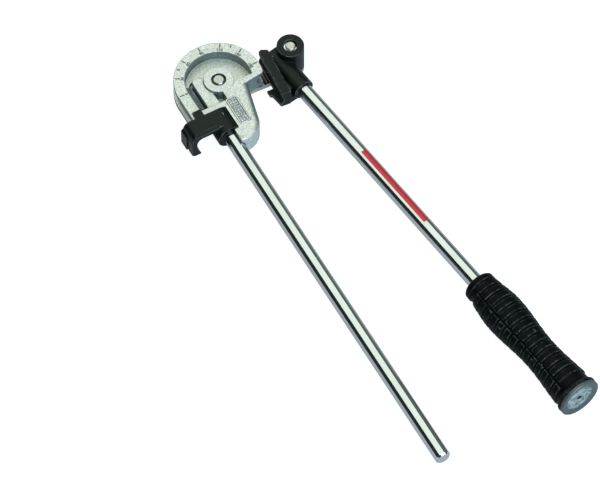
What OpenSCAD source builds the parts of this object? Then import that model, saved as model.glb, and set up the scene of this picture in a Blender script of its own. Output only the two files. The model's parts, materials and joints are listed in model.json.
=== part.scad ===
// Hand tube bender: a cast former with a fixed handle, a hook that holds the tube,
// and a lever that draws a slide shoe round the grooved rim of the former.
// The pivot axis is Z, the fixed handle lies along +X and the bench is z = 0.
// The lever is drawn where the bend reaches the last mark of the scale.

/* [Tube and bend] */
// Outside diameter of the tube that the grooves take
tube_d = 12; // [10:0.5:14]
// Bend radius at the centre line of the tube, which is also the rim radius
bend_r = 40; // [38:1:50]
// Play round the tube in every groove
tube_play = 0.15; // [0.05:0.05:0.3]

/* [Former casting] */
// Thickness of the casting along the pivot
former_t = 20; // [19:0.5:24]
// Width of the rim that carries the scale
rim_w = 10; // [8:0.5:12]
// Depth of the pocket inside the rim
pocket_depth = 10.5; // [6:0.5:12]
// Diameter of the hub round the pivot
hub_d = 27; // [24:1:30]
// How far the hub stands above the rim
hub_rise = 0.4; // [0.2:0.1:1]
// Distance from the pivot to the flat end of the pocket behind the nose
pocket_x = 8; // [6:1:10]
// Wall of the handle socket that shows in the pocket
socket_wall = 1.6; // [1.5:0.1:2.5]
// How far the rounded top of that socket is raised above the handle's axis
socket_lift = 2.2; // [1:0.1:3]
// Width of the sunk channel round that socket
channel_w = 2.4; // [1:0.1:3]
// Depth of that channel below the floor of the pocket
channel_depth = 4; // [2:0.5:5]
// Distance from the pivot to the web beside the hook
web_x = 22; // [20:1:26]
// Thickness of that web
web_t = 5.5; // [3:0.5:6]
// Angle of the nose on the rim, from the fixed handle
nose_at = 76; // [70:1:82]
// Radius of the nose
nose_r = 3; // [2:0.5:4]
// Radius of the inner corner between the nose and the tail
neck_fillet = 6; // [3:0.5:8]
// Length of the lug behind the hook
lug_len = 15; // [12:0.5:24]
// Radius of the rounded end of the tail
tail_r = 21; // [20:0.5:26]
// Width of the crowned edge of the tail
crown_w = 7; // [5:0.5:9]
// Height of that crowned edge
crown_h = 6; // [4:0.5:8]
// Width broken off the sharp edges of the rim
rim_edge = 0.4; // [0.3:0.1:1]
// Length of the raised frame on the tail
panel_len = 29; // [20:1:32]
// Width of the raised frame on the tail
panel_w = 10.5; // [7:0.5:11]
// Width of the raised frame's border
panel_line = 1; // [0.6:0.1:1.5]
// Height of the raised frame
panel_rise = 0.7; // [0.3:0.1:0.8]

/* [Pivot and link] */
// Diameter of the centre pin
pivot_d = 10; // [8:0.5:12]
// Diameter of the pin in the lever head
head_pin_d = 9; // [8:0.5:10]
// Wall of the bushes that the pins turn in
bush_wall = 1.4; // [1:0.1:2]
// Diameter of the pin heads under the link
pin_head_d = 18; // [15:1:22]
// Thickness of the pin heads
pin_head_t = 4; // [2.5:0.5:5]
// Thickness of the link plate
link_t = 5; // [4:0.5:6]
// Width of the link plate between its round ends
link_w = 21; // [16:0.5:22]
// Thickness of the washers on the link
washer_t = 0.9; // [0.6:0.1:1.5]
// How far the top of a bush lies below the top of its pin
bush_sink = 3; // [2.5:0.1:4]
// Thickness of the retaining rings
ring_t = 1; // [0.8:0.1:1.2]

/* [Fixed handle] */
// Diameter of both handle rods
handle_d = 14; // [12:0.5:16]
// Diameter of the turned seat of the fixed handle inside the casting
handle_seat_d = 13.6; // [11:0.1:15.8]
// Diameter of the spigot of the fixed handle in its socket
spigot_d = 7; // [6:0.5:9]
// Distance of the handle's axis from the pivot
handle_offset = 16.5; // [15:0.5:19]
// How far the handle reaches past the pivot into its socket
handle_in = 8; // [4:1:12]
// Distance from the pivot to the free end of the handle
handle_reach = 428; // [300:1:500]
// Chamfer on the free ends of the rods
rod_chamfer = 1.2; // [0.5:0.1:2]
// Diameter of the pins that lock the handle
lock_pin_d = 3; // [2.5:0.5:4]
// How far the lug covers the handle, past the handle's axis line
lug_cover = 3.5; // [2:0.5:5]

/* [Hook] */
// Length of the hook's sleeve along the handle
hook_w = 24.5; // [20:0.5:30]
// Width of the hook's arm along the handle
hook_arm_w = 18.5; // [16:0.5:24]
// Chamfer on the front edge of the arm
hook_chamfer = 3; // [1:0.5:4]
// Wall of the hook's sleeve round the handle
sleeve_wall = 5; // [4:0.5:6]
// Thickness of the arm above the tube
arm_t = 6; // [5:0.1:9]
// Thickness of the wall outside the tube
hook_wall = 4.7; // [4:0.1:6]
// How far the larger pad stands out of that wall
hook_pad = 2; // [1:0.5:3]
// Length of the larger pad along the handle
hook_pad_len = 10; // [8:0.5:14]
// Width of the slot between the two pads
hook_slot = 1.5; // [1:0.5:3]
// How far the hook reaches below the casting
hook_drop = 5.5; // [1:0.5:7]
// How far the stop tab reaches over the rim
tab_reach = 6.5; // [2:0.5:8]
// Length of the stop tab across the rim
tab_len = 8.5; // [6:0.5:10]

/* [Lever] */
// Angle between the lever and the fixed handle
splay = 7.4; // [4:0.1:12]
// Distance from the head pin to the end of the lever
lever_len = 432; // [300:1:500]
// How far the head pin lies past the pivot along the fixed handle
head_x = 3; // [0:0.5:6]
// Distance from the head pin to the axis of the lever rod
rod_drop = 11.4; // [10.5:0.1:14]
// How far along the lever the rod begins
rod_in = 10; // [9:0.5:14]
// Diameter of the eye of the lever head
eye_d = 24.6; // [23:0.1:28]
// Height of the eye
eye_h = 27.5; // [22:0.5:30]
// Wall of the rod socket in the lever head
head_wall = 2.8; // [2:0.1:4]
// Length of the rod socket
socket_len = 36; // [32:1:60]
// Wall between the inner end of the rod and the seat of the shoe
seat_wall = 1.4; // [1:0.1:2]

/* [Slide shoe] */
// Angle by which the shoe leans towards the fixed handle
shoe_tilt = 4.3; // [0:0.1:8]
// How far the shoe reaches back from the point where it meets the rim
shoe_lead = 14.5; // [8:0.5:16]
// Length of the shoe
shoe_len = 52; // [44:1:56]
// Gap between the upper lip of the shoe and the tangent line of the rim
shoe_lip = 4.4; // [2:0.1:4.5]
// Thickness of the shoe behind the tube
shoe_back = 6.9; // [5:0.1:8]
// How much lower the shoe is than the former
shoe_relief = 1.5; // [1:0.5:3]
// Diameter of the screws that hold the shoe
screw_d = 4; // [3:0.5:5]
// Length of the screws under the head
screw_len = 9.6; // [9:0.1:11]

/* [Grip] */
// Length of the grip with its end cap
grip_len = 144; // [110:1:180]
// Diameter at the front of the grip
grip_front_d = 29; // [24:0.5:34]
// Diameter of the swelling for the palm
grip_palm_d = 37; // [32:0.5:40]
// Diameter at the waist
grip_waist_d = 30.5; // [26:0.5:34]
// Diameter at the end flare
grip_flare_d = 39.5; // [34:0.5:44]
// Ribs on each side of the grip
rib_count = 14; // [8:1:18]
// Height of the ribs
rib_h = 1.3; // [0.8:0.1:2]
// Thickness of the end cap
cap_t = 3; // [2:0.5:5]

/* [Clearances] */
// Radial clearance of a pin that turns
run_play = 0.05; // [0.02:0.01:0.1]
// Radial clearance of a piece that is pressed in
press_play = 0.02; // [0.01:0.01:0.05]
// End play of each turning stack
end_play = 0.1; // [0.05:0.05:0.2]
// Clearance between moving mouldings and the casting
swing_gap = 0.5; // [0.3:0.1:1]

/* [Hidden] */
$fn = 96;

function polar(r, a) = [r * cos(a), r * sin(a)];
function unit(v) = v / norm(v);
function xy(v, z = 0) = [v.x, v.y, z];
function arc(c, r, a0, a1, steps = 8) =
    [for (i = [0:steps]) c + polar(r, a0 + (a1 - a0) * i / steps)];
// Point where the tangent from p touches the circle, on the side that the sign gives
function touch(p, c, r, side) =
    c + polar(r, atan2(p.y - c.y, p.x - c.x) + side * acos(r / norm(p - c)));
function rounded_box(l, w, r) = concat(
    arc([l - r, w - r], r, 0, 90, 4), arc([r, w - r], r, 90, 180, 4),
    arc([r, r], r, 180, 270, 4), arc([l - r, r], r, 270, 360, 4));

// Heights above the bench
link_z = pin_head_t;
washer_z = link_z + link_t;
former_z = washer_z + washer_t + end_play;
former_top = former_z + former_t;
mid_z = former_z + former_t / 2;
floor_z = former_top - pocket_depth;
hub_top = former_top + hub_rise;
eye_top = former_z + eye_h;

// Radii
tube_r = tube_d / 2;
groove_r = tube_r + tube_play;
handle_r = handle_d / 2;
handle_seat_r = handle_seat_d / 2;
spigot_r = spigot_d / 2;
pivot_r = pivot_d / 2;
head_pin_r = head_pin_d / 2;
hub_r = hub_d / 2;
eye_r = eye_d / 2;
pocket_r = bend_r - rim_w;
pivot_bush_r = pivot_r + run_play + bush_wall;
head_bush_r = head_pin_r + run_play + bush_wall;
sleeve_r = handle_r + run_play + sleeve_wall;
notch_r = sleeve_r + swing_gap;
socket_r = spigot_r + press_play + socket_wall;
head_socket_r = handle_r + head_wall;
ring_gap = 0.2;
ring_bite = 0.6;

// Former outline in plan; straight edges end a little inside the arcs that they run into
edge_bite = 0.05;
handle_y = -handle_offset;
web_end = web_x + web_t;
bay_len = hook_w + 2 * swing_gap;
bay_end = web_end + bay_len;
tail_x = bay_end + lug_len;
lug_y = handle_y + lug_cover;
neck_corner = [hub_r + 1, hub_r + 2];
nose_c = polar(bend_r - nose_r, nose_at);
nose_touch = touch(neck_corner, nose_c, nose_r - edge_bite, 1);
tail_c = [tail_x - tail_r - 1, handle_y + 8.5];
tail_neck = neck_corner + crown_h * unit(nose_touch - neck_corner);
tail_touch = touch(tail_neck, tail_c, tail_r - edge_bite, -1);
// Flat top of the tail, inside its crowned edge
crown_c = [tail_c.x + 1, lug_y];
crown_r = tail_r - 2;
crown_turn = atan2(tail_touch.y - tail_c.y, tail_touch.x - tail_c.x);
recess_y = -3;
notch_top_y = handle_y + sqrt(notch_r * notch_r - former_t * former_t / 4);
panel_at = [web_x, notch_top_y + 3.4];
open_from = 45;
reach_all = 4 * bend_r;

// Fixed handle: its spigot ends inside the web, and its full diameter begins just outside the lug
seat_x = web_x + web_t / 2;
handle_step = tail_x + 1;
// Pins that lock the fixed handle
lock_x = tail_x - 5;
lock_y = handle_y + handle_r - lock_pin_d / 2;
socket_pin_x = 3;

// Shoe frame: X along the shoe and Y away from the pivot, before the shoe leans
seat_y = bend_r + tube_r + shoe_back;
function leaned(x, y) = x * polar(1, -shoe_tilt) + y * polar(1, 90 - shoe_tilt);

// Lever: its foot is the point of the rod's axis beside the head pin,
// placed so that the inner end of the rod clears the seat of the shoe
lever_dir = polar(1, splay);
lever_side = polar(1, splay + 90);
seat_out = polar(1, 90 - shoe_tilt);
rod_corner = rod_in * lever_dir - handle_r * lever_side;
foot_x = head_x + rod_drop * sin(splay);
foot = [foot_x, (seat_y + seat_wall - seat_out * rod_corner - seat_out.x * foot_x) / seat_out.y];
head_at = foot + rod_drop * lever_side;
socket_back = 8;
rod_end = lever_len - cap_t - 5;

// Shoe
shoe_x = -shoe_lead;
shoe_end = shoe_x + shoe_len;
shoe_h = former_t - shoe_relief;
shoe_z = mid_z - shoe_h / 2;
screw_xs = [0.5, shoe_end - 16];
screw_head_r = screw_d * 0.9;
screw_head_h = screw_d * 0.5;
screw_seat_y = bend_r + groove_r + screw_head_h + 0.6;
screw_tip_y = screw_seat_y + screw_len;

// Hook profile, in the plane across the handle
tube_y = -bend_r;
arm_z = mid_z + groove_r;
arm_top = arm_z + arm_t;
wall_in_y = tube_y - groove_r;
wall_out_y = wall_in_y - hook_wall;
hook_low_z = former_z - hook_drop;
// The lip passes outside the tube as the hook swings about the handle
lip_sweep_r = bend_r - handle_offset + tube_r + swing_gap;
lip_from = 180 + asin((mid_z - hook_low_z) / lip_sweep_r);
lip_to = 180 + asin(groove_r / lip_sweep_r);
hook_x = web_end + swing_gap;

// Grip, measured along the lever: a smooth collar, ribs on two sides and a flare
grip_start = lever_len - grip_len;
grip_body = grip_len - cap_t - press_play;
grip_lip = 1.5;
collar_len = 6.5;
cap_r = grip_flare_d / 2 - 0.3;
rib_pitch = (grip_body - 20) / rib_count;
rib_w = rib_pitch * 0.84;
rib_sweep = 172;
rib_turn = 45;

// Maps a plan drawn in (y, z) to a solid along X
module along_x(x, length) {
    translate([x, 0, 0]) rotate([90, 0, 90]) linear_extrude(length) children();
}

// Places a solid that stands on Z so that it lies along the lever
module along_lever(s) {
    translate(xy(foot + s * lever_dir, mid_z)) rotate([0, 90, splay]) children();
}

// Turns what is drawn in the shoe frame so that the shoe leans
module leaning() {
    rotate([0, 0, -shoe_tilt]) children();
}

// Places a solid that stands on Z so that it points along +Y
module along_y(x, y, z) {
    translate([x, y, z]) rotate([-90, 0, 0]) children();
}

module ring(r_in, r_out, h) {
    difference() {
        cylinder(r = r_out, h = h);
        translate([0, 0, -1]) cylinder(r = r_in, h = h + 2);
    }
}

// Open retaining ring that sits in a groove of its pin
module retaining_ring(pin_r, r_out) {
    rotate([0, 0, 180]) rotate_extrude(angle = 230)
        translate([pin_r - ring_bite + press_play, 0]) square([r_out - pin_r + ring_bite, ring_t]);
}

// Pin with a flat head on the bench and a ring groove near its top
module headed_pin(r, top) {
    ring_z = top - bush_sink + end_play;
    difference() {
        union() {
            cylinder(r1 = pin_head_d / 2 - 1, r2 = pin_head_d / 2, h = 1);
            translate([0, 0, 1]) cylinder(r = pin_head_d / 2, h = pin_head_t - 1);
            translate([0, 0, pin_head_t]) cylinder(r = r, h = top - pin_head_t - 0.8);
            translate([0, 0, top - 0.8]) cylinder(r1 = r, r2 = r - 0.8, h = 0.8);
        }
        translate([0, 0, ring_z - press_play]) ring(r - ring_bite, r + 1, ring_t + 2 * press_play);
    }
}

// Rounds the inside of a corner between two straight edges
module corner_fillet(corner, a, b, r) {
    u = unit(a - corner);
    v = unit(b - corner);
    half = acos(u * v) / 2;
    centre = corner + unit(u + v) * r / sin(half);
    reach = r / tan(half);
    difference() {
        polygon([corner - u - v, corner + u * reach, centre, corner + v * reach]);
        translate(centre) circle(r);
    }
}

// Nose, neck and straight run seen from above
module nose_outline() {
    translate(nose_c) circle(nose_r);
    polygon([[-hub_r, 0], neck_corner, nose_touch, nose_c, polar(pocket_r, nose_at + 20)]);
    translate([0, -bend_r]) square([web_end, bend_r]);
}

// Tail from the neck to the lug seen from above
module tail_outline() {
    polygon([[-hub_r, lug_y], [tail_c.x, lug_y], tail_touch, tail_neck, [-hub_r, 0]]);
    intersection() {
        translate(tail_c) circle(tail_r);
        translate([0, lug_y]) square([reach_all, reach_all]);
    }
    corner_fillet(tail_neck, nose_touch, tail_touch, neck_fillet);
}

// Section across the tail's edge: flat top, then a crowned edge that falls to the wall
module crown_section(inside) {
    polygon(concat(
        [[-inside, 0], [crown_r + crown_w + 1, 0], [crown_r + crown_w + 1, former_t - crown_h]],
        [for (t = [90:-15:0]) [crown_r + crown_w * sin(t), former_t - crown_h * (1 - cos(t))]],
        [[-inside, former_t]]
    ));
}

// Space that the crowned tail keeps within: a turned end and a straight run back to the neck
module tail_crown() {
    translate(xy(crown_c, former_z)) {
        rotate_extrude() crown_section(0);
        rotate([0, 0, crown_turn]) translate([-edge_bite, reach_all, 0])
            rotate([90, 0, 0]) linear_extrude(reach_all) crown_section(reach_all);
    }
}

// Pocket inside the rim, which runs on as a channel beside the handle socket
module pocket_outline() {
    intersection() {
        circle(pocket_r);
        translate([-pocket_r, -pocket_r]) square([pocket_r + pocket_x, 2 * pocket_r]);
    }
    translate([0, -pocket_r]) square([web_x, pocket_r + recess_y]);
}

// Sweeps a section about the pivot, from the start of the straight run back to the given angle
module sweep_back(z, to) {
    translate([0, 0, z]) rotate([0, 0, -90]) mirror([0, 1, 0]) rotate_extrude(angle = 270 - to) children();
}

// Cuts a section along the curved rim and past the nose
module round_rim(z) {
    sweep_back(z, open_from) translate([bend_r, 0]) children();
}

// Carries the same section along the straight run of the rim
module straight_rim(z) {
    along_x(0, web_end + 1) translate([-bend_r, z]) children();
}

module edge_break() {
    rotate(45) square(rim_edge * sqrt(2), center = true);
}

// Bay that the hook turns in
module hook_bay() {
    along_x(web_end, bay_len) translate([handle_y, mid_z]) circle(notch_r);
    translate([web_end, -reach_all, 0]) cube([bay_len, reach_all + handle_y, reach_all]);
}

// Sunk channel round the handle socket, up to the web
module socket_channel() {
    r = socket_r + channel_w;
    translate([-handle_in, handle_y, floor_z - channel_depth]) {
        cylinder(r = r, h = channel_depth + 1);
        translate([0, -r, 0]) cube([handle_in + web_x, 2 * r, channel_depth + 1]);
    }
}

// Rib with a rounded top and a round end that holds the spigot of the handle
module handle_socket() {
    rib_len = handle_in + web_x + 1;
    rib_h = mid_z + socket_lift - former_z - 1;
    side = socket_r - edge_bite;
    translate([-handle_in, handle_y, former_z + 1]) {
        cylinder(r = socket_r, h = rib_h);
        translate([0, -side, 0]) cube([rib_len, 2 * side, rib_h]);
        translate([0, 0, rib_h]) sphere(r = socket_r);
        translate([0, 0, rib_h]) rotate([0, 90, 0]) cylinder(r = socket_r, h = rib_len);
    }
}

// Slope between the straight run of the rim and the handle socket
module rim_slope() {
    slot = 1;
    foot_y = handle_y - socket_r - slot;
    low_z = floor_z - channel_depth - 1;
    along_x(-handle_in, handle_in + web_x + 0.5) polygon([
        [-pocket_r - 1, former_top - 0.3], [-pocket_r - 1, low_z], [foot_y, low_z], [foot_y, floor_z + 3]
    ]);
}

module lock_pin_holes(play) {
    translate([lock_x, lock_y, -1]) cylinder(d = lock_pin_d + 2 * play, h = reach_all);
    translate([socket_pin_x, handle_y, -1]) cylinder(d = lock_pin_d + 2 * play, h = mid_z + spigot_r + 2);
}

module panel_frame() {
    corner_r = 2;
    difference() {
        polygon(rounded_box(panel_len, panel_w, corner_r));
        translate([panel_line, panel_line])
            polygon(rounded_box(panel_len - 2 * panel_line, panel_w - 2 * panel_line, corner_r - panel_line));
    }
}

module bending_former() {
    color("gainsboro") difference() {
        union() {
            difference() {
                union() {
                    sweep_back(former_z, nose_at) square([bend_r, former_t]);
                    translate([0, 0, former_z]) linear_extrude(former_t) nose_outline();
                    intersection() {
                        translate([0, 0, former_z]) linear_extrude(former_t) tail_outline();
                        tail_crown();
                    }
                }
                translate([0, 0, floor_z]) linear_extrude(pocket_depth + 1) pocket_outline();
                socket_channel();
                hook_bay();
            }
            translate([0, 0, former_z + 1]) cylinder(r = hub_r, h = hub_top - former_z - 1);
            handle_socket();
            rim_slope();
            translate(xy(panel_at, former_top - 0.5)) linear_extrude(panel_rise + 0.5) panel_frame();
        }
        cylinder(r = pivot_bush_r + press_play, h = reach_all);
        translate([0, handle_y, mid_z]) rotate([0, 90, 0]) {
            translate([0, 0, -handle_in - 0.5]) cylinder(r = spigot_r + press_play, h = reach_all);
            translate([0, 0, seat_x]) cylinder(r = handle_seat_r + press_play, h = reach_all);
        }
        lock_pin_holes(press_play);
        round_rim(mid_z) circle(groove_r);
        straight_rim(mid_z) circle(groove_r);
        for (z = [former_z, former_top]) round_rim(z) edge_break();
        for (z = [former_z, former_top]) straight_rim(z) edge_break();
    }
}

module fixed_handle() {
    chamfer_x = handle_reach - rod_chamfer;
    color("silver") difference() {
        translate([0, handle_y, mid_z]) rotate([0, 90, 0]) {
            translate([0, 0, -handle_in]) cylinder(r = spigot_r, h = handle_in + handle_step);
            translate([0, 0, seat_x + end_play]) cylinder(r = handle_seat_r, h = handle_step - seat_x);
            translate([0, 0, handle_step]) cylinder(r = handle_r, h = chamfer_x - handle_step);
            translate([0, 0, chamfer_x])
                cylinder(r1 = handle_r, r2 = handle_r - rod_chamfer, h = rod_chamfer);
        }
        lock_pin_holes(press_play);
    }
}

module handle_lock_pin() {
    color("dimgray") translate([lock_x, lock_y, former_z]) cylinder(d = lock_pin_d, h = former_t - 0.3);
}

module socket_pin() {
    color("dimgray") translate([socket_pin_x, handle_y, former_z + 0.3])
        cylinder(d = lock_pin_d, h = former_t / 2 + spigot_r);
}

module pivot_bush() {
    color("darkgoldenrod") translate([0, 0, former_z])
        ring(pivot_r + run_play, pivot_bush_r, hub_top - bush_sink - former_z);
}

module link_plate() {
    color("lightsteelblue") translate([0, 0, link_z]) difference() {
        linear_extrude(link_t) {
            circle(eye_r);
            translate(head_at) circle(eye_r);
            rotate(atan2(head_at.y, head_at.x)) translate([0, -link_w / 2]) square([norm(head_at), link_w]);
        }
        translate([0, 0, -1]) cylinder(r = pivot_r + press_play, h = link_t + 2);
        translate(xy(head_at, -1)) cylinder(r = head_pin_r + press_play, h = link_t + 2);
    }
}

module pivot_pin() {
    color("whitesmoke") headed_pin(pivot_r, hub_top);
}

module pivot_washer() {
    color("silver") translate([0, 0, washer_z]) ring(pivot_r + press_play, eye_r - 1, washer_t);
}

module pivot_ring() {
    color("dimgray") translate([0, 0, hub_top - bush_sink + end_play])
        retaining_ring(pivot_r, pivot_bush_r - ring_gap);
}

module head_pin() {
    color("whitesmoke") translate(head_at) headed_pin(head_pin_r, eye_top);
}

module eye_washer() {
    color("silver") translate(xy(head_at, washer_z)) ring(head_pin_r + press_play, eye_r - 1, washer_t);
}

module head_ring() {
    color("silver") translate(xy(head_at, eye_top - bush_sink + end_play))
        retaining_ring(head_pin_r, head_bush_r - ring_gap);
}

module head_bush() {
    color("darkgoldenrod") translate(xy(head_at, former_z))
        ring(head_pin_r + run_play, head_bush_r, eye_h - bush_sink);
}

// Low web and seat wall that leave a trench beside the rod socket, closed by a full-height end wall
module head_web() {
    web_h = shoe_h / 3;
    seat_h = shoe_h * 0.7;
    wall_t = 3;
    block_x = shoe_x + 5;
    wall_x = block_x + 1;
    wall_end = shoe_end - 2 * wall_t;
    translate([0, 0, shoe_z + 1]) linear_extrude(web_h) polygon([
        leaned(shoe_x, seat_y), leaned(shoe_end, seat_y), foot + (socket_len - 1) * lever_dir,
        head_at, head_at - [eye_r - 0.5, 2]
    ]);
    leaning() translate([wall_x, seat_y, shoe_z + 0.5]) cube([wall_end - wall_x, wall_t, seat_h]);
    translate([0, 0, shoe_z]) linear_extrude(shoe_h) polygon([
        leaned(block_x, seat_y), leaned(block_x + 2 * wall_t, seat_y),
        head_at, head_at - [eye_r - 1, wall_t]
    ]);
}

module screw_bodies(play) {
    for (x = screw_xs) {
        along_y(x, screw_seat_y - screw_head_h, mid_z) cylinder(r = screw_head_r + play, h = screw_head_h);
        along_y(x, screw_seat_y, mid_z) cylinder(d = screw_d + 2 * play, h = screw_len + play);
    }
}

module lever_head() {
    color("#202325") difference() {
        union() {
            translate(xy(head_at, former_z)) cylinder(r = eye_r, h = eye_h);
            along_lever(-socket_back) cylinder(r = head_socket_r, h = socket_back + socket_len);
            head_web();
        }
        leaning() translate([-reach_all / 2, seat_y - reach_all, 0]) cube(reach_all);
        translate(head_at) cylinder(r = head_bush_r + press_play, h = reach_all);
        along_lever(rod_in) cylinder(r = handle_r + press_play, h = socket_len);
        leaning() screw_bodies(press_play);
    }
}

// Block with a bevelled leading end, and a longer lower lip with a stop at its middle
module slide_shoe() {
    lip_y = bend_r + shoe_lip;
    bevel = 2.6;
    flange_h = shoe_h / 2 - groove_r;
    stop_x = shoe_end - 19;
    stop_len = 6.5;
    color("#17191b") leaning() difference() {
        union() {
            translate([0, 0, shoe_z]) linear_extrude(shoe_h) polygon([
                [shoe_x + bevel, seat_y], [shoe_x, lip_y + bevel], [shoe_x + bevel / 2, lip_y],
                [shoe_end, lip_y], [shoe_end, seat_y]
            ]);
            translate([0, 0, shoe_z]) linear_extrude(flange_h) polygon([
                [stop_x, bend_r - 2], [stop_x + stop_len, bend_r - 1.5], [stop_x + stop_len, bend_r + 0.3],
                [shoe_end, lip_y - 1], [shoe_end, lip_y + 1], [stop_x, lip_y + 1]
            ]);
        }
        along_x(shoe_x - 1, shoe_len + 2) translate([bend_r, mid_z]) circle(groove_r);
        screw_bodies(press_play);
        for (x = screw_xs) along_y(x, bend_r, mid_z) cylinder(r = screw_head_r + press_play, h = groove_r + 1);
    }
}

module shoe_screws() {
    color("lightgray") leaning() screw_bodies(0);
}

module lever_rod() {
    color("silver") difference() {
        along_lever(rod_in + 0.3) cylinder(r = handle_r, h = rod_end - rod_in);
        leaning() screw_bodies(press_play);
    }
}

// Radius of the grip's core along its length, eased between the four named diameters
function ease(a, b, t) = a + (b - a) * (1 - cos(180 * t)) / 2;
function grip_outer(s) =
    let (palm = 0.27 * grip_body, waist = 0.62 * grip_body)
    s < palm ? ease(grip_front_d, grip_palm_d, s / palm) / 2
    : s < waist ? ease(grip_palm_d, grip_waist_d, (s - palm) / (waist - palm)) / 2
    : ease(grip_waist_d, grip_flare_d - 2, (s - waist) / (grip_body - waist)) / 2;
function grip_core(s) = grip_outer(s) - rib_h;

module grip_rib(s) {
    r0 = grip_core(s);
    r1 = grip_core(s + rib_w);
    slope = 0.6;
    rotate_extrude(angle = rib_sweep) polygon([
        [r0 - 1, s], [r0 + 0.2, s], [r0 + rib_h, s + slope],
        [r1 + rib_h, s + rib_w - slope], [r1 + 0.2, s + rib_w], [r1 - 1, s + rib_w]
    ]);
}

module grip() {
    steps = 24;
    bore_r = handle_r + press_play;
    flare_t = 5;
    collar_start = collar_len + 0.6;
    color("#141516") along_lever(grip_start) difference() {
        union() {
            rotate_extrude() polygon(concat(
                [[0, 0], [grip_outer(0) - grip_lip, 0], [grip_outer(grip_lip), grip_lip],
                 [grip_outer(collar_len), collar_len]],
                [for (i = [0:steps]) let (s = collar_start + (grip_body - flare_t - collar_start) * i / steps)
                    [grip_core(s), s]],
                arc([grip_flare_d / 2 - flare_t / 2, grip_body - flare_t / 2], flare_t / 2, -60, 60, 6),
                [[grip_flare_d / 2 - flare_t / 2, grip_body], [0, grip_body]]
            ));
            for (i = [0:rib_count - 1], side = [0, 1])
                rotate([0, 0, rib_turn + 180 * side]) grip_rib(8 + (i + side / 2) * rib_pitch);
        }
        translate([0, 0, -1]) cylinder(r = bore_r, h = grip_len);
    }
}

module grip_end_cap() {
    edge = 0.8;
    face_r = cap_r * 0.78;
    plug = 4;
    color("slategray") along_lever(lever_len - cap_t) rotate_extrude() polygon([
        [1.6, -plug], [handle_r, -plug], [handle_r, 0], [cap_r, 0],
        [cap_r, cap_t - edge], [cap_r - edge, cap_t], [face_r + 1, cap_t], [face_r, cap_t - 0.8],
        [cap_r * 0.3, cap_t - 0.8], [cap_r * 0.25, cap_t - 0.3], [1.6, cap_t - 0.3]
    ]);
}

// Profile of the hook's arm, wall and lip, across the handle
module hook_profile() {
    corner_r = arm_t + 1;
    axis = [handle_y, mid_z];
    shoulder = [wall_out_y + corner_r, arm_top];
    polygon(concat(
        [axis, touch(shoulder, axis, sleeve_r - edge_bite, -1)],
        arc(shoulder - [0, corner_r], corner_r, 90, 180),
        [[wall_out_y, hook_low_z + 2], [wall_out_y + 2, hook_low_z]],
        arc(axis, lip_sweep_r, lip_from, lip_to, 4),
        arc([tube_y, mid_z], groove_r, 180, 90),
        [[handle_y - sleeve_r + 2, arm_z]]
    ));
}

// Pad that thickens the outer wall of the hook
module hook_pad(x, length, rise) {
    along_x(x, length) polygon([
        [wall_out_y + 3, arm_z + 2], [wall_out_y - rise, arm_z - 2],
        [wall_out_y - rise, hook_low_z + 2], [wall_out_y + 1, hook_low_z + 0.5]
    ]);
}

// Wedge that takes off the front edge of the arm, clear of the sleeve
module arm_chamfer() {
    front = hook_x + hook_arm_w;
    low = arm_top - 0.7 * hook_chamfer;
    translate([0, handle_y - 0.6 * sleeve_r, 0]) rotate([90, 0, 0]) linear_extrude(reach_all) polygon([
        [front - hook_chamfer, arm_top], [front, low], [front + 1, low], [front + 1, arm_top + 1],
        [front - hook_chamfer, arm_top + 1]
    ]);
}

module tube_hook() {
    tab_z = former_top + swing_gap / 2;
    color("#1b1d1f") difference() {
        union() {
            difference() {
                along_x(hook_x, hook_arm_w) hook_profile();
                arm_chamfer();
            }
            along_x(hook_x, hook_w) translate([handle_y, mid_z]) circle(sleeve_r);
            hook_pad(hook_x, hook_pad_len, hook_pad);
            hook_pad(hook_x + hook_pad_len + hook_slot, hook_arm_w - hook_pad_len - hook_slot, hook_pad / 3);
            translate([hook_x - tab_reach - swing_gap, tube_y + 2, tab_z])
                cube([tab_reach + swing_gap + 2, tab_len, arm_top - tab_z]);
        }
        translate([0, handle_y, mid_z])
            rotate([0, 90, 0]) cylinder(r = handle_seat_r + run_play, h = reach_all);
    }
}

bending_former();
fixed_handle();
handle_lock_pin();
socket_pin();
pivot_bush();
link_plate();
pivot_pin();
pivot_washer();
pivot_ring();
head_pin();
eye_washer();
head_ring();
lever_head();
head_bush();
slide_shoe();
shoe_screws();
lever_rod();
grip();
grip_end_cap();
tube_hook();
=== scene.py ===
"""Looks of the hand tube bender: softened castings and mouldings, finishes, angle scale, camera and light.

Everything is in metres in the frame of the CAD model. Sizes are named in millimetres and turned by MM.
"""

import json
import math

import bmesh
import bpy
from mathutils import Matrix, Vector


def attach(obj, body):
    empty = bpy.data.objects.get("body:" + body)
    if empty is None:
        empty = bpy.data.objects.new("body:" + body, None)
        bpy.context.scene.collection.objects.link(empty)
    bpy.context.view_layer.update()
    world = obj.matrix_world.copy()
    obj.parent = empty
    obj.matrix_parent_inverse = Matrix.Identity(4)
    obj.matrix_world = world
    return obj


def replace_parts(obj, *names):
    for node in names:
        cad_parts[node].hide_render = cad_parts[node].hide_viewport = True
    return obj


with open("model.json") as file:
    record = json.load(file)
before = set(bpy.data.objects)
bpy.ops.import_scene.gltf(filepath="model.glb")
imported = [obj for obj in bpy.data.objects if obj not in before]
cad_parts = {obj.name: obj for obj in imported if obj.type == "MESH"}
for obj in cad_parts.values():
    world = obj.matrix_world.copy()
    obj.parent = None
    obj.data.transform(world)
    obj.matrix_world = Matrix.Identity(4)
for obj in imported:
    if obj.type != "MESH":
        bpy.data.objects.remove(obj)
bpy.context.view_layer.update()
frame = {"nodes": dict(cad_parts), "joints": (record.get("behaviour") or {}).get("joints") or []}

MM = 0.001

# Points closer than this are one point, and heights closer than this are one level
SAME = 0.001

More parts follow.
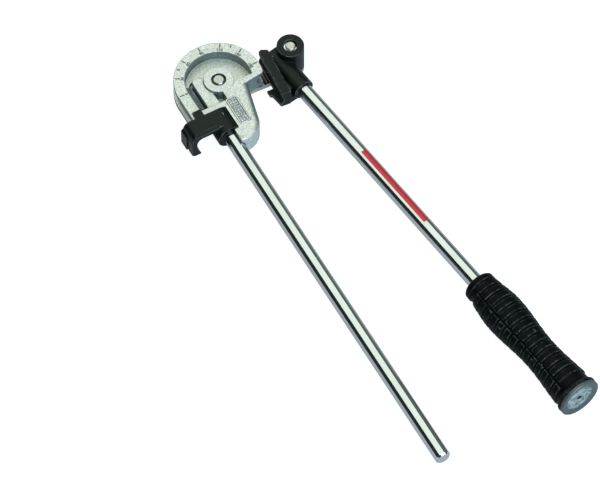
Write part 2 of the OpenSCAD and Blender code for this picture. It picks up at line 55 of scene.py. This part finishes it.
# Sizes that the pieces below share with the CAD model
FORMER_TOP = 30
MID_Z = 20
ROD_R = 7
HANDLE_Y = -16.5
HANDLE_IN = 8
WEB_X = 22
SPLAY = math.radians(7.4)
ROD_DROP = 11.4
LEVER_LEN = 432

# End cap of the grip: outer radius, thickness, border of the sunk disc and the hole in its middle
CAP_R = 19.45
CAP_T = 3
CAP_DISC_R = 13
CAP_HOLE_R = 2.3

# Raised frame on the tail: its first corner, its length and width, and the width of its border
PANEL_AT = Vector((22, -5.52, FORMER_TOP))
PANEL_SIZE = Vector((29, 10.5, 0))
PANEL_LINE = 1

# Lever axis, beside the head pin that the lever turns on
LIFT = next(joint for joint in frame["joints"] if joint["name"] == "lever_lift")
HEAD_PIN = Vector(LIFT["pos_m"]) / MM
LEVER_DIR = Vector((math.cos(SPLAY), math.sin(SPLAY), 0))
LEVER_FOOT = HEAD_PIN + ROD_DROP * Vector((math.sin(SPLAY), -math.cos(SPLAY), 0))

# Angles of the scale in degrees, with the length of each mark. The long marks have numbers, and the last
# value is half the thickness of those.
LONG_MARK, SHORT_MARK = 4.4, 3.0
NUMBERED = (0, 30, 60, 90, 120, 150, 180)
MARKS = {0: LONG_MARK, 30: LONG_MARK, 45: SHORT_MARK, 60: LONG_MARK, 90: LONG_MARK, 120: LONG_MARK,
         135: SHORT_MARK, 150: LONG_MARK, 180: LONG_MARK}
NUMBER_HALF = 0.1


def linear(code):
    """Linear colour of an sRGB hex value."""
    parts = [int(code[i:i + 2], 16) / 255 for i in (1, 3, 5)]
    return tuple(c / 12.92 if c <= 0.04045 else ((c + 0.055) / 1.055) ** 2.4 for c in parts) + (1,)


def per_mm(size):
    """Texture scale whose features are about this many millimetres across."""
    return 1 / (size * MM)


def feed(tree, node, inputs):
    """Gives each named or numbered input of a node a value or a link."""
    for socket, value in inputs.items():
        if isinstance(value, bpy.types.NodeSocket):
            tree.links.new(value, node.inputs[socket])
        else:
            node.inputs[socket].default_value = value


def add(tree, kind, inputs, **settings):
    """Adds a node with its own settings and inputs."""
    node = tree.nodes.new(kind)
    for name, value in settings.items():
        setattr(node, name, value)
    feed(tree, node, inputs)
    return node


def noise(tree, coords, size, detail, roughness=0.5, distortion=0.0):
    """Cloudy pattern whose features are about size millimetres across."""
    return add(tree, "ShaderNodeTexNoise", {
        "Vector": coords, "Scale": per_mm(size), "Detail": detail, "Roughness": roughness,
        "Distortion": distortion}).outputs["Fac"]


def grade(tree, value, low=0.0, high=1.0, to_low=0.0, to_high=1.0):
    """Value taken from one range to another and held at its ends."""
    return add(tree, "ShaderNodeMapRange", {
        "Value": value, "From Min": low, "From Max": high, "To Min": to_low,
        "To Max": to_high}).outputs["Result"]


def blend(tree, share, first, second):
    """Colour between two others, each a hex value or a link: the first at share 0, the second at share 1."""
    first, second = (linear(end) if isinstance(end, str) else end for end in (first, second))
    return add(tree, "ShaderNodeMix", {
        "Factor": share, "A": first, "B": second}, data_type="RGBA").outputs["Result"]


def maths(tree, operation, *terms):
    """Result of one step of arithmetic on values or links."""
    return add(tree, "ShaderNodeMath", dict(enumerate(terms)), operation=operation).outputs["Value"]


def bumps(tree, height, strength, depth):
    """Normals of a surface that this pattern roughens to a depth in millimetres."""
    return add(tree, "ShaderNodeBump", {
        "Height": height, "Strength": strength, "Distance": depth * MM}).outputs["Normal"]


def finish_of(name, metallic=0.0):
    """New material: its node tree, its shader and the Object coordinates that its patterns read."""
    material = bpy.data.materials.new(name)
    material.use_nodes = True
    tree = material.node_tree
    shader = tree.nodes["Principled BSDF"]
    shader.inputs["Metallic"].default_value = metallic
    coords = add(tree, "ShaderNodeTexCoord", {}).outputs["Object"]
    return material, tree, shader, coords


def rubbed_edges(tree, coords, patch, sharp):
    """Share of edge wear and painted highlight: high along the outer edges that hands and the bench rub and
    that light would catch, broken into patches.
    """
    bend = add(tree, "ShaderNodeNewGeometry", {}).outputs["Pointiness"]
    edge = grade(tree, bend, low=0.505, high=sharp)
    patches = noise(tree, coords, patch, detail=3.0)
    broken = grade(tree, patches, low=0.42, high=0.62, to_low=0.1, to_high=0.7)
    return maths(tree, "MULTIPLY", edge, broken)


def bright_faces(tree, coords):
    """Share of painted light on the casting, by which way each face points: full on faces that point up, high
    towards the end of the tail that the lamp from +X lights.
    """
    lit_start, lit_full, lit_share = 50, 64, 0.85
    facing = add(tree, "ShaderNodeTexCoord", {}).outputs["Normal"]
    upward = add(tree, "ShaderNodeSeparateXYZ", {"Vector": facing}).outputs["Z"]
    facing_up = grade(tree, upward, low=0.82, high=0.97)
    along = add(tree, "ShaderNodeSeparateXYZ", {"Vector": coords}).outputs["X"]
    lit_tail_end = grade(tree, along, low=lit_start * MM, high=lit_full * MM, to_high=lit_share)
    return maths(tree, "MAXIMUM", facing_up, lit_tail_end)


def die_cast_aluminium():
    """Speckled die casting: painted light on faces that point up, painted shade on its walls and in its
    corners, and pale edges that are partly wear and partly painted highlight.
    """
    corner_w = 2.2
    material, tree, shader, coords = finish_of("die_cast_aluminium", metallic=0.55)
    speckle = noise(tree, coords, 1.6, detail=4.0, roughness=0.7)
    contrast = grade(tree, speckle, low=0.36, high=0.64)
    pale = blend(tree, contrast, "#b4b8b0", "#eaf0e6")
    blotch = grade(tree, noise(tree, coords, 14, detail=2.0), low=0.4, high=0.7, to_high=0.35)
    lit_top_tone = blend(tree, blotch, pale, "#c6c9c6")
    # Painted shade: walls and steep faces take this darker tone, faces that point up take the paler one.
    painted_wall_shade = blend(tree, contrast, "#626f6b", "#95a4a1")
    faces = blend(tree, bright_faces(tree, coords), painted_wall_shade, lit_top_tone)
    # Near-white along the outer edges: partly edge wear, partly painted highlight.
    edges_worn_and_highlit = blend(tree, rubbed_edges(tree, coords, patch=5, sharp=0.55), faces, "#fbfcfc")
    # Painted shade in the corners: ambient occlusion darkens the colour towards #39433f.
    corner = add(tree, "ShaderNodeAmbientOcclusion", {"Distance": corner_w * MM}, samples=8).outputs["AO"]
    unshaded = grade(tree, corner, low=0.35, high=0.72)
    grit = noise(tree, coords, 0.5, detail=2.0)
    feed(tree, shader, {
        "Base Color": blend(tree, unshaded, "#39433f", edges_worn_and_highlit),
        "Roughness": grade(tree, speckle, to_low=0.34, to_high=0.56),
        "Normal": bumps(tree, grit, strength=0.35, depth=0.12)})
    return material


def grimy_aluminium():
    """Sunk field of the raised frame: a darker patchy grey that paints the shade of the recess inside the
    frame.
    """
    material, tree, shader, coords = finish_of("grimy_aluminium", metallic=0.4)
    patchy = grade(tree, noise(tree, coords, 1.4, detail=4.0), low=0.35, high=0.65)
    feed(tree, shader, {
        "Base Color": blend(tree, patchy, "#7d847f", "#bcc2bc"),
        "Roughness": 0.6})
    return material


def bright_plated_steel(name, turn):
    """Drawn bar with bright plating: a mirror with faint lines along the bar, which is turned about Z."""
    line_length, line_width = 40, 0.7
    material, tree, shader, coords = finish_of(name, metallic=1.0)
    along = add(tree, "ShaderNodeMapping", {"Vector": coords, "Rotation": (0, 0, -turn)}).outputs["Vector"]
    stretch = (per_mm(line_length), per_mm(line_width), per_mm(line_width))
    stretched = add(tree, "ShaderNodeMapping", {"Vector": along, "Scale": stretch}).outputs["Vector"]
    drawn = add(tree, "ShaderNodeTexNoise", {
        "Vector": stretched, "Scale": 1.0, "Detail": 3.0}).outputs["Fac"]
    feed(tree, shader, {
        "Base Color": blend(tree, noise(tree, coords, 24, detail=3.0), "#b9bfbd", "#cfd3d1"),
        "Roughness": grade(tree, drawn, to_low=0.07, to_high=0.17),
        "Normal": bumps(tree, drawn, strength=0.05, depth=0.03)})
    return material


def turned_steel(name, centre):
    """Lathe-turned pin or washer: rings of fine tool marks about its own axis."""
    ring_w = 0.6
    material, tree, shader, coords = finish_of(name, metallic=1.0)
    about = add(tree, "ShaderNodeMapping", {"Vector": coords, "Location": -centre * MM}).outputs["Vector"]
    rings = add(tree, "ShaderNodeTexWave", {
        "Vector": about, "Scale": per_mm(ring_w) / math.tau, "Distortion": 1.2, "Detail": 2.0,
        "Detail Scale": 3.0}, wave_type="RINGS", rings_direction="Z").outputs["Fac"]
    feed(tree, shader, {
        "Base Color": blend(tree, noise(tree, coords, 3, detail=3.0), "#a9aaa2", "#cfcfc6"),
        "Roughness": grade(tree, rings, to_low=0.36, to_high=0.52),
        "Normal": bumps(tree, rings, strength=0.2, depth=0.03)})
    return material


def phosphated_spring_steel():
    """Retaining ring: spring steel with a dark, oily phosphate coat, thin in places."""
    material, tree, shader, coords = finish_of("phosphated_spring_steel", metallic=1.0)
    coat = noise(tree, coords, 1.5, detail=3.0)
    feed(tree, shader, {
        "Base Color": blend(tree, coat, "#26282a", "#4c4f50"),
        "Roughness": grade(tree, coat, to_low=0.3, to_high=0.5)})
    return material


def sintered_bronze():
    """Pressed and sintered bush: brown metal, dark with the oil that its open pores hold."""
    pore = 0.5
    material, tree, shader, coords = finish_of("sintered_bronze", metallic=1.0)
    pores = add(tree, "ShaderNodeTexVoronoi", {"Vector": coords, "Scale": per_mm(pore)}).outputs["Distance"]
    feed(tree, shader, {
        "Base Color": blend(tree, pores, "#1f1a13", "#4b3c26"),
        "Roughness": 0.42,
        "Normal": bumps(tree, pores, strength=0.3, depth=0.05)})
    return material


def glass_filled_nylon():
    """Black glass-filled nylon: satin, with the fine leathery grain of its mould and pale edges, partly wear
    and partly painted highlight.
    """
    grain_w = 0.7
    material, tree, shader, coords = finish_of("glass_filled_nylon")
    grain = add(tree, "ShaderNodeTexVoronoi", {
        "Vector": coords, "Scale": per_mm(grain_w), "Randomness": 1.0}, feature="SMOOTH_F1")
    flow = noise(tree, coords, 9, detail=4.0)
    tone = blend(tree, grade(tree, flow, low=0.45, high=0.75), "#050d09", "#0e1913")
    feed(tree, shader, {
        "Base Color": blend(tree, rubbed_edges(tree, coords, patch=6, sharp=0.56), tone, "#8d968f"),
        "Roughness": grade(tree, flow, to_low=0.32, to_high=0.5),
        "Specular IOR Level": 0.22,
        "Normal": bumps(tree, grain.outputs["Distance"], strength=0.25, depth=0.1)})
    return material


def moulded_rubber():
    """Soft black rubber: dull, with a faint grey bloom, a sandy mould texture and grey edges, partly wear and
    partly painted highlight.
    """
    material, tree, shader, coords = finish_of("moulded_rubber")
    bloom = blend(tree, noise(tree, coords, 12, detail=3.0), "#020403", "#090d0b")
    sand = noise(tree, coords, 0.8, detail=3.0)
    feed(tree, shader, {
        "Base Color": blend(tree, rubbed_edges(tree, coords, patch=4, sharp=0.54), bloom, "#5d6661"),
        "Roughness": 0.45,
        "Specular IOR Level": 0.06,
        "Normal": bumps(tree, sand, strength=0.3, depth=0.12)})
    return material


def off_lever_axis(tree, coords):
    """Distance of each point from the lever's axis."""
    cap_end = (LEVER_FOOT + LEVER_LEN * LEVER_DIR) * MM
    from_end = add(tree, "ShaderNodeVectorMath", {0: coords, 1: cap_end}, operation="SUBTRACT")
    across = add(tree, "ShaderNodeVectorMath", {
        0: from_end.outputs["Vector"], 1: LEVER_DIR}, operation="CROSS_PRODUCT")
    length = add(tree, "ShaderNodeVectorMath", {0: across.outputs["Vector"]}, operation="LENGTH")
    return length.outputs["Value"]


def grey_moulding():
    """Grey polypropylene cap: a marbled disc with a soft gloss, in a darker ring, with painted shade
    near-black in and round its hole.
    """
    border_fade, hole_in, hole_out = 0.4, 0.05, 0.2
    material, tree, shader, coords = finish_of("grey_moulding")
    marble = noise(tree, coords, 5, detail=4.0, distortion=0.6)
    disc = blend(tree, grade(tree, marble, low=0.35, high=0.65), "#4a574e", "#a1aea4")
    ring = blend(tree, marble, "#343f3a", "#4a5752")
    radius = off_lever_axis(tree, coords)
    past_disc = grade(
        tree, radius, low=(CAP_DISC_R - border_fade) * MM, high=(CAP_DISC_R + border_fade) * MM)
    # Painted shade: near-black inside the hole and just past its edge.
    past_hole = grade(tree, radius, low=(CAP_HOLE_R - hole_in) * MM, high=(CAP_HOLE_R + hole_out) * MM)
    feed(tree, shader, {
        "Base Color": blend(tree, past_hole, "#0b0f0d", blend(tree, past_disc, disc, ring)),
        "Roughness": grade(tree, marble, to_low=0.35, to_high=0.55)})
    return material


def engraving_ink():
    """Dark paint rubbed into the engraved scale, worn thin in places."""
    material, tree, shader, coords = finish_of("engraving_ink")
    thin = grade(tree, noise(tree, coords, 1.2, detail=3.0), low=0.42, high=0.7)
    feed(tree, shader, {
        "Base Color": blend(tree, thin, "#2a2e2b", "#646964"),
        "Roughness": 0.6})
    return material


def red_stripe_paint():
    """Screen-printed red enamel on the lever rod, a little uneven."""
    material, tree, shader, coords = finish_of("red_stripe_paint")
    feed(tree, shader, {
        "Base Color": blend(tree, noise(tree, coords, 2.5, detail=3.0), "#a8101f", "#d32433"),
        "Roughness": 0.32})
    return material


def piece_from(name, mesh, body, material):
    """Object for a finished mesh that moves with a CAD body."""
    piece = bpy.data.objects.new(name, mesh)
    bpy.context.collection.objects.link(piece)
    mesh.materials.clear()
    mesh.materials.append(material)
    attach(piece, body)
    return piece


def mesh_of(bm, name):
    """Mesh made from a finished bmesh, which is then freed."""
    mesh = bpy.data.meshes.new(name)
    bm.to_mesh(mesh)
    bm.free()
    return mesh


def baked(piece):
    """Replaces a piece's mesh by the result of its modifiers."""
    shape = piece.evaluated_get(bpy.context.evaluated_depsgraph_get())
    mesh = bpy.data.meshes.new_from_object(shape)
    piece.modifiers.clear()
    piece.data = mesh
    return mesh


def unit_to(at, size):
    """Matrix that makes a unit shape this large and centres it here, both in millimetres."""
    return Matrix.Translation(at * MM) @ Matrix.Diagonal((*(size * MM), 1))


def rounded(bm, geom, radius, segments, affect="EDGES"):
    """Rounds off edges or corners by a radius in millimetres."""
    bmesh.ops.bevel(
        bm, geom=geom, offset=radius * MM, affect=affect, segments=segments, profile=0.5, material=-1)


def is_upright(edge):
    """Whether an edge of a block stands along Z."""
    return abs(edge.verts[0].co.z - edge.verts[1].co.z) > 0.1 * MM


def is_level_at(edge, z):
    """Whether an edge lies at this height in millimetres."""
    return all(abs(end.co.z - z * MM) < SAME * MM for end in edge.verts)


def socket_rib(bm):
    """Flat top of the handle socket in the pocket: a cast rib with a round end, spread towards the web."""
    half_w, low, top, spread, end_r, crest_r, into_web = 5.15, 22, 27.5, 2.0, 4.9, 1.0, 0.5
    size = Vector((HANDLE_IN + half_w + WEB_X + into_web, 2 * half_w, top - low))
    at = Vector((WEB_X + into_web - size.x / 2, HANDLE_Y, (top + low) / 2))
    corners = bmesh.ops.create_cube(bm, size=1, matrix=unit_to(at, size))["verts"]
    web_side = [v for v in corners if v.co.x > at.x * MM and v.co.y > at.y * MM]
    bmesh.ops.translate(bm, vec=(0, spread * MM, 0), verts=web_side)
    free_end = {edge for v in corners for edge in v.link_edges
                if is_upright(edge) and all(end.co.x < at.x * MM for end in edge.verts)}
    rounded(bm, list(free_end), end_r, segments=10)
    rounded(bm, [edge for edge in bm.edges if is_level_at(edge, top)], crest_r, segments=3)


def softened(node, body, material, passes=3, keep=0.35, cast_on=None):
    """Copy of a CAD node with the small rounds that a casting or moulding has on all its edges."""
    voxel, smoothing = 0.35, 0.5
    mesh = frame["nodes"][node].data.copy()
    bm = bmesh.new()
    bm.from_mesh(mesh)
    bmesh.ops.remove_doubles(bm, verts=bm.verts, dist=SAME * MM)
    if cast_on:
        cast_on(bm)
    bm.to_mesh(mesh)
    bm.free()
    piece = piece_from(f"{node}_softened", mesh, body, material)
    voxels = piece.modifiers.new("voxels", "REMESH")
    voxels.mode = "VOXEL"
    voxels.voxel_size = voxel * MM
    rounds = piece.modifiers.new("rounds", "SMOOTH")
    rounds.factor = smoothing
    rounds.iterations = passes
    lean = piece.modifiers.new("lean", "DECIMATE")
    lean.ratio = keep
    baked(piece).shade_smooth()
    flats = piece.modifiers.new("flats", "WEIGHTED_NORMAL")
    flats.keep_sharp = False
    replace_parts(piece, node)


def scale_turn(degrees):
    """Direction of a scale angle, seen from the pivot: 0 lies beside the hook and 180 beside the lever."""
    return math.radians(-90 - degrees)


def scale_marks(material):
    """Radial marks of the angle scale."""
    outer_r, width, sink, proud = 38.4, 1.1, 0.2, 0.02
    bm = bmesh.new()
    for degrees, length in MARKS.items():
        at = Vector((outer_r - length / 2, 0, FORMER_TOP + (proud - sink) / 2))
        turn = Matrix.Rotation(scale_turn(degrees), 4, "Z")
        bmesh.ops.create_cube(bm, size=1, matrix=turn @ unit_to(at, Vector((length, width, sink + proud))))
    piece_from("scale_marks", mesh_of(bm, "scale_marks"), "former", material)


def number_mesh(name, digits):
    """Flat bold digits with a little depth, as a mesh that is centred on its foot."""
    height, boldness = 3.9, 0.14
    curve = bpy.data.curves.new(name, "FONT")
    curve.body = digits
    curve.align_x = "CENTER"
    curve.size = height * MM
    curve.extrude = NUMBER_HALF * MM
    curve.offset = boldness * MM
    curve.resolution_u = 4
    text = bpy.data.objects.new(name, curve)
    bpy.context.collection.objects.link(text)
    mesh = bpy.data.meshes.new_from_object(text.evaluated_get(bpy.context.evaluated_depsgraph_get()))
    bpy.data.objects.remove(text)
    return mesh


def scale_number(degrees, material):
    """Number of a scale mark, read from the rim, just inside its mark."""
    base_r, proud = 30.6, 0.02
    name = f"scale_number_{degrees}"
    bm = bmesh.new()
    bm.from_mesh(number_mesh(name, str(degrees)))
    bmesh.ops.remove_doubles(bm, verts=bm.verts, dist=SAME * MM)
    bmesh.ops.dissolve_degenerate(bm, edges=bm.edges, dist=SAME * MM)
    bmesh.ops.recalc_face_normals(bm, faces=bm.faces)
    lift = Matrix.Translation(Vector((0, 0, FORMER_TOP - NUMBER_HALF + proud)) * MM)
    turn = Matrix.Rotation(scale_turn(degrees) - math.pi / 2, 4, "Z")
    outward = Matrix.Translation(Vector((0, base_r, 0)) * MM)
    bmesh.ops.transform(bm, matrix=lift @ turn @ outward, verts=bm.verts)
    piece_from(name, mesh_of(bm, name), "former", material)


def lever_place(s):
    """Matrix that lays a shape made along X onto the lever's axis, starting s millimetres along it."""
    return Matrix.Translation((LEVER_FOOT + s * LEVER_DIR) * MM) @ Matrix.Rotation(SPLAY, 4, "Z")


def rod_stripe(material):
    """Plain painted stripe on the side of the lever rod that faces up."""
    start, length, film = 122, 91, 0.06
    arc, lean = math.radians(44), math.radians(-8)
    bm = bmesh.new()
    edge = [bm.verts.new(Vector((x, 0, ROD_R + film)) * MM) for x in (0, length)]
    line = bm.edges.new(edge)
    tilt = Matrix.Rotation(lean - arc / 2, 3, "X")
    bmesh.ops.rotate(bm, cent=(0, 0, 0), matrix=tilt, verts=bm.verts)
    bmesh.ops.spin(bm, geom=[*edge, line], axis=(1, 0, 0), cent=(0, 0, 0), angle=arc, steps=12)
    bmesh.ops.recalc_face_normals(bm, faces=bm.faces)
    bmesh.ops.solidify(bm, geom=bm.faces, thickness=2 * film * MM)
    bmesh.ops.transform(bm, matrix=lever_place(start), verts=bm.verts)
    piece_from("rod_stripe", mesh_of(bm, "rod_stripe"), "lever", material)


def end_cap_dish(material):
    """End cap of the grip: a rim round a shallow flat dish with a hole in its middle, and a plug behind."""
    plug, plug_r, dish, edge = 4, ROD_R, 1.4, 0.8
    floor_s = CAP_T - dish
    outline = [
        (CAP_HOLE_R, -plug), (plug_r, -plug), (plug_r, 0), (CAP_R, 0), (CAP_R, CAP_T - edge),
        (CAP_R - edge, CAP_T), (CAP_R - 2 * edge, CAP_T), (CAP_DISC_R, floor_s),
        (CAP_HOLE_R + edge / 2, floor_s), (CAP_HOLE_R, floor_s - edge / 2)]
    bm = bmesh.new()
    corners = [bm.verts.new(Vector((s, 0, r)) * MM) for r, s in outline]
    sides = [bm.edges.new((a, b)) for a, b in zip(corners, corners[1:] + corners[:1])]
    bmesh.ops.spin(
        bm, geom=[*corners, *sides], axis=(1, 0, 0), cent=(0, 0, 0), angle=math.tau, steps=72, use_merge=True)
    bmesh.ops.recalc_face_normals(bm, faces=bm.faces)
    bmesh.ops.transform(bm, matrix=lever_place(LEVER_LEN - CAP_T), verts=bm.verts)
    mesh = mesh_of(bm, "end_cap_dish")
    mesh.shade_smooth()
    mesh.set_sharp_from_angle(angle=math.radians(20))
    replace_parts(piece_from("end_cap_dish", mesh, "lever", material), "grip_end_cap")


def panel_field(material):
    """Thin sheet on the ground of the raised frame, with rounded corners, that carries the painted shade of
    its recess.
    """
    sink, proud, corner_r = 0.3, 0.06, 1.2
    size = PANEL_SIZE + Vector((-2 * PANEL_LINE, -2 * PANEL_LINE, sink + proud))
    at = PANEL_AT + PANEL_SIZE / 2 + Vector((0, 0, (proud - sink) / 2))
    bm = bmesh.new()
    bmesh.ops.create_cube(bm, size=1, matrix=unit_to(at, size))
    rounded(bm, [edge for edge in bm.edges if is_upright(edge)], corner_r, segments=4)
    piece_from("panel_field", mesh_of(bm, "panel_field"), "former", material)


def panel_frame(material):
    """Raised border of the frame on the tail, with the small rounds that the mould gives it."""
    rise, sink, corner_r, edge_r, sharp = 0.75, 0.3, 2.0, 0.25, 1
    foot = PANEL_AT + PANEL_SIZE / 2 - Vector((0, 0, sink))
    bm = bmesh.new()
    bmesh.ops.create_grid(bm, x_segments=1, y_segments=1, size=0.5, matrix=unit_to(foot, PANEL_SIZE))
    rounded(bm, bm.verts, corner_r, segments=4, affect="VERTICES")
    field = list(bm.faces)
    bmesh.ops.inset_region(
        bm, faces=field, thickness=PANEL_LINE * MM, use_even_offset=True, use_boundary=True)
    bmesh.ops.delete(bm, geom=field, context="FACES")
    raised = bmesh.ops.extrude_face_region(bm, geom=bm.faces, use_keep_orig=True)["geom"]
    bmesh.ops.translate(bm, vec=Vector((0, 0, rise + sink)) * MM, verts=[
        part for part in raised if isinstance(part, bmesh.types.BMVert)])
    bmesh.ops.recalc_face_normals(bm, faces=bm.faces)
    crest = [edge for edge in bm.edges
             if is_level_at(edge, FORMER_TOP + rise) and edge.calc_face_angle(0) > sharp]
    rounded(bm, crest, edge_r, segments=2)
    piece_from("panel_frame", mesh_of(bm, "panel_frame"), "former", material)


def panel_pips(material):
    """Rows of small round pips that fill the raised frame on the tail."""
    columns, rows, radius, margin, rise = 9, 3, 1.05, 2.6, 0.75
    step_x = (PANEL_SIZE.x - 2 * margin) / (columns - 1)
    step_y = (PANEL_SIZE.y - 2 * margin) / (rows - 1)
    flat = Matrix.Diagonal((1, 1, rise / radius, 1))
    bm = bmesh.new()
    for i in range(columns):
        for j in range(rows):
            at = PANEL_AT + Vector((margin + i * step_x, margin + j * step_y, 0))
            bmesh.ops.create_icosphere(
                bm, subdivisions=2, radius=radius * MM, matrix=Matrix.Translation(at * MM) @ flat)
    piece_from("panel_pips", mesh_of(bm, "panel_pips"), "former", material)


def paint(node, material):
    """Gives a CAD node that keeps its own mesh a finish."""
    materials = frame["nodes"][node].data.materials
    materials.clear()
    materials.append(material)


def pale_floor():
    """Floor that is white to the camera and dim in the mirror of the rods."""
    half_size, seen_glow, mirrored_glow = 12, 0.92, 0.3
    bm = bmesh.new()
    bmesh.ops.create_grid(bm, x_segments=1, y_segments=1, size=half_size)
    floor = bpy.data.objects.new("floor", mesh_of(bm, "floor"))
    bpy.context.collection.objects.link(floor)
    material, tree, shader, _ = finish_of("pale_floor")
    path = add(tree, "ShaderNodeLightPath", {}).outputs
    mirrored = maths(tree, "MULTIPLY", path["Is Glossy Ray"], mirrored_glow)
    feed(tree, shader, {
        "Base Color": linear("#8d979f"),
        "Roughness": 0.9,
        "Emission Color": linear("#fdfefd"),
        "Emission Strength": maths(tree, "MULTIPLY_ADD", path["Is Camera Ray"], seen_glow, mirrored)})
    floor.data.materials.append(material)


def softbox(name, at, aim, size, radiance, colour):
    """Soft rectangular studio light that gives an even brightness over its face."""
    light = bpy.data.lights.new(name, "AREA")
    light.shape = "RECTANGLE"
    light.size, light.size_y = size
    light.energy = radiance * math.pi * size[0] * size[1]
    light.color = linear(colour)[:3]
    lamp = bpy.data.objects.new(name, light)
    lamp.location = at
    lamp.rotation_euler = (Vector(aim) - Vector(at)).to_track_quat("-Z", "Y").to_euler()
    lamp.visible_camera = False
    bpy.context.collection.objects.link(lamp)


def studio_lights():
    """Overhead softbox, key and cool end lights, and two dim panels that the rods mirror as grey bands."""
    white, cool = "#f4fff4", "#c0d2ee"
    softbox("overhead_softbox", at=(-0.45, 0.0, 1.2), aim=(-0.2, -0.06, 0.0), size=(1.9, 1.9),
            radiance=1.45, colour="#f8fff8")
    softbox("key_light", at=(0.75, -0.05, 1.1), aim=(0.05, 0.0, 0.02), size=(0.5, 0.5),
            radiance=3.0, colour=white)
    softbox("cool_end_light", at=(1.25, 0.2, 0.56), aim=(0.0, 0.0, 0.02), size=(0.8, 0.6),
            radiance=13.0, colour=cool)
    softbox("back_panel", at=(-2.4, 0.0, 0.7), aim=(0.0, 0.0, 0.1), size=(2.4, 1.8),
            radiance=0.5, colour=white)
    softbox("side_panel", at=(-0.5, 1.25, 0.55), aim=(-0.5, 0.0, 0.45), size=(0.9, 1.0),
            radiance=0.17, colour=white)


def studio_room():
    """Dim green-grey room that the rods mirror as dark bands, with a white backdrop for the camera."""
    world = bpy.data.worlds.new("studio_room")
    bpy.context.scene.world = world
    world.use_nodes = True
    tree = world.node_tree
    tree.nodes.clear()
    room = add(tree, "ShaderNodeBackground", {"Color": linear("#9fb3a8"), "Strength": 0.07})
    backdrop = add(tree, "ShaderNodeBackground", {"Color": linear("#fbfdfc"), "Strength": 1.0})
    seen = add(tree, "ShaderNodeLightPath", {}).outputs["Is Camera Ray"]
    mixed = add(tree, "ShaderNodeMixShader", {
        "Fac": seen, 1: room.outputs["Background"], 2: backdrop.outputs["Background"]})
    add(tree, "ShaderNodeOutputWorld", {"Surface": mixed.outputs["Shader"]})
    bpy.context.scene.view_settings.view_transform = "Standard"


def long_lens_camera():
    """Camera at the photo's angle, far off with a long lens, so that the rods stay nearly parallel-sided."""
    azimuth, elevation = math.radians(61.075), math.radians(56.782)
    distance, lens, sensor, far = 5.0, 347.5, 36, 100
    aim = Vector((185.46, -20.85, MID_Z)) * MM
    level = math.cos(elevation)
    back = Vector((math.sin(azimuth) * level, -math.cos(azimuth) * level, math.sin(elevation)))
    data = bpy.data.cameras.new("photo_camera")
    data.lens = lens
    data.sensor_width = sensor
    data.sensor_fit = "HORIZONTAL"
    data.clip_end = far
    camera = bpy.data.objects.new("photo_camera", data)
    camera.location = aim + distance * back
    camera.rotation_euler = (-back).to_track_quat("-Z", "Y").to_euler()
    bpy.context.collection.objects.link(camera)
    bpy.context.scene.camera = camera


aluminium = die_cast_aluminium()
nylon = glass_filled_nylon()
rubber = moulded_rubber()
ink = engraving_ink()
pivot_steel = turned_steel("turned_steel_pivot", Vector((0, 0, 0)))
head_steel = turned_steel("turned_steel_head", HEAD_PIN)
bronze = sintered_bronze()

softened("bending_former", "former", aluminium, keep=0.25, cast_on=socket_rib)
softened("tube_hook", "hook", nylon)
softened("lever_head", "lever", nylon)
softened("slide_shoe", "lever", nylon)
softened("grip", "lever", rubber, passes=2)

paint("fixed_handle", bright_plated_steel("bright_plated_handle", 0.0))
paint("lever_rod", bright_plated_steel("bright_plated_lever", SPLAY))
paint("link_plate", bright_plated_steel("bright_plated_link", math.pi / 2))
end_cap_dish(grey_moulding())
for steel_node in ("pivot_pin", "pivot_washer", "handle_lock_pin", "socket_pin"):
    paint(steel_node, pivot_steel)
paint("head_ring", bright_plated_steel("bright_plated_ring", 0.0))
for steel_node in ("head_pin", "eye_washer", "shoe_screws"):
    paint(steel_node, head_steel)
paint("pivot_ring", phosphated_spring_steel())
for bush in ("pivot_bush", "head_bush"):
    paint(bush, bronze)

scale_marks(ink)
for number in NUMBERED:
    scale_number(number, ink)
rod_stripe(red_stripe_paint())
panel_field(grimy_aluminium())
panel_frame(aluminium)
panel_pips(aluminium)

pale_floor()
studio_lights()
studio_room()
long_lens_camera()
